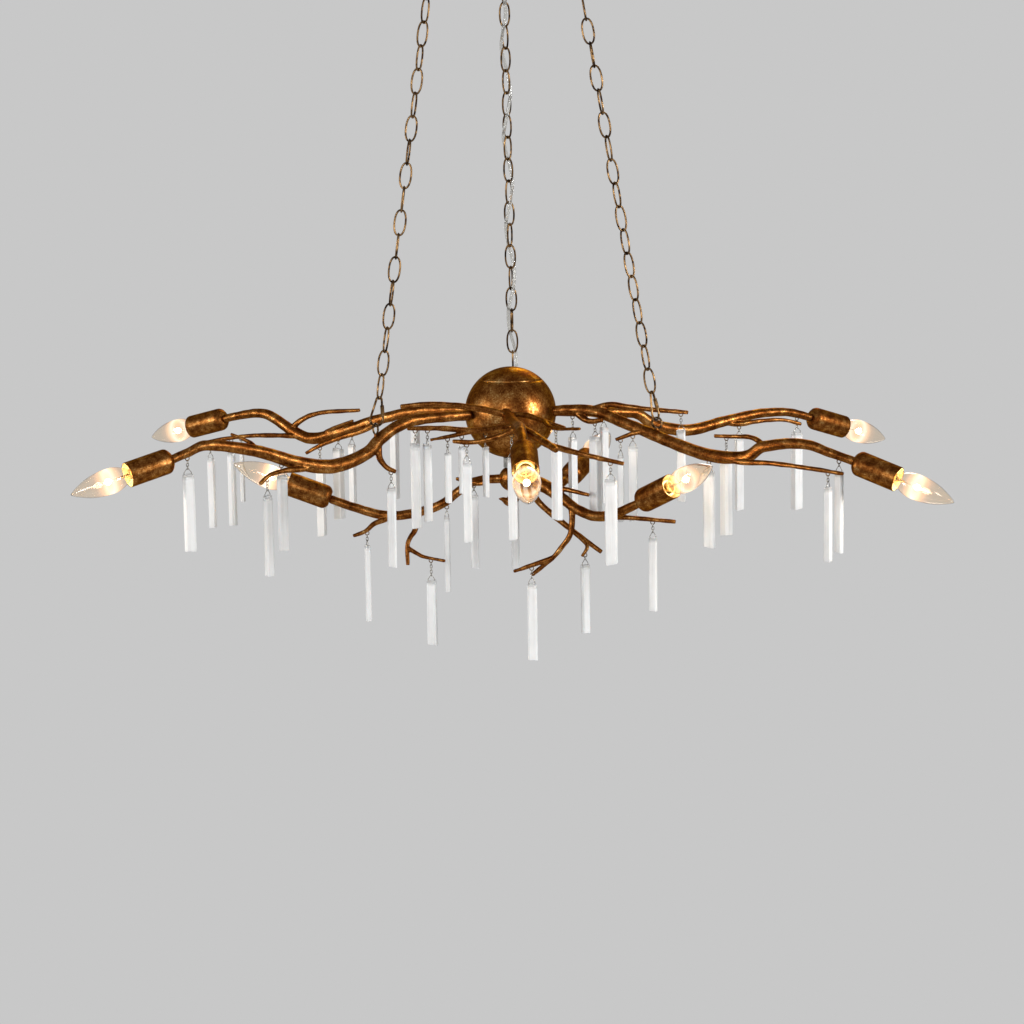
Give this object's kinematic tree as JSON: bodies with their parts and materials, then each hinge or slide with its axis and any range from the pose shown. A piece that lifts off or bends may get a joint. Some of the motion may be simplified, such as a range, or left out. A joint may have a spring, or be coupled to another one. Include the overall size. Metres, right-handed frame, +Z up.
{
  "type": "branch chandelier",
  "caption": "Chain-hung chandelier with forged branch arms round a ball, candle lamps in turned cups and selenite sticks swinging on small links.",
  "frame": {"origin": "middle of the ceiling bracket's top face, on the ceiling plane", "axes": "+Z up into the ceiling, the fixture hangs towards -Z; -Y towards the viewer, +X to the viewer's right"},
  "size_m": [1.0557, 1.211, 0.9058],
  "materials": {
    "gold_leaf_iron": "mottled antique gold leaf over dark brown",
    "antique_brass": "aged, half gloss",
    "zinc_steel": "zinc plated",
    "selenite": "raw fibrous crystal, satin",
    "bulb_glass": "clear, lit",
    "lamp_holder": "moulded phenolic, cream",
    "clear_cord": "clear jacket over tinned wire",
    "bushing_plastic": "moulded"
  },
  "bodies": {
    "frame": {"arm_back": "gold_leaf_iron", "arm_back_left": "gold_leaf_iron", "arm_back_right": "gold_leaf_iron", "arm_front": "gold_leaf_iron", "arm_front_left": "gold_leaf_iron", "arm_front_right": "gold_leaf_iron", "arm_low_back": "gold_leaf_iron", "arm_low_front": "gold_leaf_iron", "arm_low_left": "gold_leaf_iron", "ball": "gold_leaf_iron", "ball_cap": "gold_leaf_iron", "ball_stem": "zinc_steel", "bulbs": "bulb_glass", "canopy": "gold_leaf_iron", "canopy_hooks": "antique_brass", "canopy_screws": "antique_brass", "ceiling_bracket": "zinc_steel", "chain_back": "antique_brass", "chain_connectors": "antique_brass", "chain_left": "antique_brass", "chain_right": "antique_brass", "cord_bushings": "bushing_plastic", "lamp_holders": "lamp_holder", "lower_hub": "gold_leaf_iron", "power_cord": "clear_cord", "socket_cups": "gold_leaf_iron"},
    "drop_01": {"crystal_drop_01": "selenite"},
    "drop_02": {"crystal_drop_02": "selenite"},
    "drop_03": {"crystal_drop_03": "selenite"},
    "drop_04": {"crystal_drop_04": "selenite"},
    "drop_05": {"crystal_drop_05": "selenite"},
    "drop_06": {"crystal_drop_06": "selenite"},
    "drop_07": {"crystal_drop_07": "selenite"},
    "drop_08": {"crystal_drop_08": "selenite"},
    "drop_09": {"crystal_drop_09": "selenite"},
    "drop_10": {"crystal_drop_10": "selenite"},
    "drop_11": {"crystal_drop_11": "selenite"},
    "drop_12": {"crystal_drop_12": "selenite"},
    "drop_13": {"crystal_drop_13": "selenite"},
    "drop_14": {"crystal_drop_14": "selenite"},
    "drop_15": {"crystal_drop_15": "selenite"},
    "drop_16": {"crystal_drop_16": "selenite"},
    "drop_17": {"crystal_drop_17": "selenite"},
    "drop_18": {"crystal_drop_18": "selenite"},
    "drop_19": {"crystal_drop_19": "selenite"},
    "drop_20": {"crystal_drop_20": "selenite"},
    "drop_21": {"crystal_drop_21": "selenite"},
    "drop_22": {"crystal_drop_22": "selenite"},
    "drop_23": {"crystal_drop_23": "selenite"},
    "drop_24": {"crystal_drop_24": "selenite"},
    "drop_25": {"crystal_drop_25": "selenite"},
    "drop_26": {"crystal_drop_26": "selenite"},
    "drop_27": {"crystal_drop_27": "selenite"},
    "drop_28": {"crystal_drop_28": "selenite"},
    "drop_29": {"crystal_drop_29": "selenite"},
    "drop_30": {"crystal_drop_30": "selenite"},
    "drop_31": {"crystal_drop_31": "selenite"},
    "drop_32": {"crystal_drop_32": "selenite"},
    "drop_33": {"crystal_drop_33": "selenite"},
    "drop_34": {"crystal_drop_34": "selenite"}
  },
  "joints": [
    {"name": "swing_01", "type": "hinge", "parent": "frame", "child": "drop_01", "pos_m": [-0.39472, -0.22789, -0.62411], "axis": [-0.866, -0.5, 0], "range_deg": [-25, 25]},
    {"name": "swing_02", "type": "hinge", "parent": "frame", "child": "drop_02", "pos_m": [-0.41546, 0.21279, -0.65768], "axis": [-0.9506, 0.3103, 0], "range_deg": [-25, 25]},
    {"name": "swing_03", "type": "hinge", "parent": "frame", "child": "drop_03", "pos_m": [-0.37818, 0.20068, -0.6514], "axis": [0.9439, -0.3056, 0.1251], "range_deg": [-25, 25]},
    {"name": "swing_04", "type": "hinge", "parent": "frame", "child": "drop_04", "pos_m": [-0.3009, -0.19812, -0.6559], "axis": [-0.7175, -0.6965, 0], "range_deg": [-25, 25]},
    {"name": "swing_05", "type": "hinge", "parent": "frame", "child": "drop_05", "pos_m": [-0.28578, -0.165, -0.64293], "axis": [-0.866, -0.5, 0], "range_deg": [-25, 25]},
    {"name": "swing_06", "type": "hinge", "parent": "frame", "child": "drop_06", "pos_m": [-0.25858, 0.13161, -0.65683], "axis": [-0.9716, 0.2366, 0], "range_deg": [-25, 25]},
    {"name": "swing_07", "type": "hinge", "parent": "frame", "child": "drop_07", "pos_m": [-0.22446, 0.13809, -0.64302], "axis": [0.8141, -0.5008, 0.2939], "range_deg": [-8.8, 25]},
    {"name": "swing_08", "type": "hinge", "parent": "frame", "child": "drop_08", "pos_m": [-0.18948, -0.01152, -0.7521], "axis": [-0.9469, -0.3215, 0], "range_deg": [-25, 25]},
    {"name": "swing_09", "type": "hinge", "parent": "frame", "child": "drop_09", "pos_m": [-0.14157, 0.08709, -0.61484], "axis": [0.8331, -0.5125, 0.208], "range_deg": [-25, 25]},
    {"name": "swing_10", "type": "hinge", "parent": "frame", "child": "drop_10", "pos_m": [-0.15222, -0.10677, -0.661], "axis": [0.9925, -0.1223, 0], "range_deg": [-25, 25]},
    {"name": "swing_11", "type": "hinge", "parent": "frame", "child": "drop_11", "pos_m": [-0.10735, -0.27978, -0.58902], "axis": [0.9704, 0.2364, -0.0491], "range_deg": [-25, 25]},
    {"name": "swing_12", "type": "hinge", "parent": "frame", "child": "drop_12", "pos_m": [-0.06766, -0.27353, -0.59892], "axis": [0.9272, 0.3596, 0.1048], "range_deg": [-20, 25]},
    {"name": "swing_13", "type": "hinge", "parent": "frame", "child": "drop_13", "pos_m": [-0.05266, -0.31979, -0.60211], "axis": [-0.9873, 0.1589, 0], "range_deg": [-20, 25]},
    {"name": "swing_14", "type": "hinge", "parent": "frame", "child": "drop_14", "pos_m": [-0.04927, -0.01154, -0.69225], "axis": [-0.9491, -0.3151, 0], "range_deg": [-25, 25]},
    {"name": "swing_15", "type": "hinge", "parent": "frame", "child": "drop_15", "pos_m": [-0.08538, 0, -0.72117], "axis": [-1, 0, 0], "range_deg": [-25, 25]},
    {"name": "swing_16", "type": "hinge", "parent": "frame", "child": "drop_16", "pos_m": [-0.03101, -0.25873, -0.59603], "axis": [-0.9624, -0.2716, 0], "range_deg": [-25, 25]},
    {"name": "swing_17", "type": "hinge", "parent": "frame", "child": "drop_17", "pos_m": [0.0007, -0.32739, -0.59094], "axis": [-0.9845, 0.1752, 0], "range_deg": [-25, 25]},
    {"name": "swing_18", "type": "hinge", "parent": "frame", "child": "drop_18", "pos_m": [0.004, 0.0088, -0.6978], "axis": [1, 0, 0], "range_deg": [-3.8, 25]},
    {"name": "swing_19", "type": "hinge", "parent": "frame", "child": "drop_19", "pos_m": [0.02374, -0.0941, -0.78856], "axis": [-0.997, -0.0774, 0], "range_deg": [-25, 25]},
    {"name": "swing_20", "type": "hinge", "parent": "frame", "child": "drop_20", "pos_m": [0.0558, -0.17502, -0.60372], "axis": [0.57, -0.8216, 0], "range_deg": [-25, 25]},
    {"name": "swing_21", "type": "hinge", "parent": "frame", "child": "drop_21", "pos_m": [0.10254, 0.05731, -0.61269], "axis": [0.8699, 0.4862, -0.0835], "range_deg": [-25, 25]},
    {"name": "swing_22", "type": "hinge", "parent": "frame", "child": "drop_22", "pos_m": [0.10733, -0.07059, -0.6074], "axis": [0.7741, -0.633, 0], "range_deg": [-3.8, 25]},
    {"name": "swing_23", "type": "hinge", "parent": "frame", "child": "drop_23", "pos_m": [0.11692, -0.33519, -0.62476], "axis": [0.9984, -0.0559, 0], "range_deg": [-25, 25]},
    {"name": "swing_24", "type": "hinge", "parent": "frame", "child": "drop_24", "pos_m": [0.14652, -0.09312, -0.62377], "axis": [0.9506, -0.0899, 0.2972], "range_deg": [-20, 25]},
    {"name": "swing_25", "type": "hinge", "parent": "frame", "child": "drop_25", "pos_m": [0.09281, -0.06997, -0.77626], "axis": [-0.9122, -0.4097, 0], "range_deg": [-25, 25]},
    {"name": "swing_26", "type": "hinge", "parent": "frame", "child": "drop_26", "pos_m": [0.17621, -0.14486, -0.72392], "axis": [0.9842, -0.177, 0], "range_deg": [-25, 25]},
    {"name": "swing_27", "type": "hinge", "parent": "frame", "child": "drop_27", "pos_m": [0.21637, -0.08292, -0.59522], "axis": [0.9874, -0.1583, 0], "range_deg": [-25, 25]},
    {"name": "swing_28", "type": "hinge", "parent": "frame", "child": "drop_28", "pos_m": [0.24783, -0.13512, -0.65081], "axis": [0.878, -0.4787, 0], "range_deg": [-25, 3.2]},
    {"name": "swing_29", "type": "hinge", "parent": "frame", "child": "drop_29", "pos_m": [0.27048, -0.12476, -0.62229], "axis": [-0.7844, 0.6203, 0], "range_deg": [-25, 2.5]},
    {"name": "swing_30", "type": "hinge", "parent": "frame", "child": "drop_30", "pos_m": [0.3113, 0.16572, -0.64109], "axis": [0.9685, 0.2492, 0], "range_deg": [-25, 25]},
    {"name": "swing_31", "type": "hinge", "parent": "frame", "child": "drop_31", "pos_m": [0.39594, 0.22129, -0.6366], "axis": [0.8729, 0.4879, 0], "range_deg": [-25, 25]},
    {"name": "swing_32", "type": "hinge", "parent": "frame", "child": "drop_32", "pos_m": [0.38455, -0.241, -0.65353], "axis": [0.8122, -0.5834, 0], "range_deg": [-25, 7.5]},
    {"name": "swing_33", "type": "hinge", "parent": "frame", "child": "drop_33", "pos_m": [0.40075, -0.21849, -0.64149], "axis": [0.878, -0.4787, 0], "range_deg": [-7.5, 25]},
    {"name": "swing_34", "type": "hinge", "parent": "frame", "child": "drop_34", "pos_m": [-0.10628, -0.02993, -0.78668], "axis": [0.9151, -0.4033, 0], "range_deg": [-25, 25]}
  ]
}
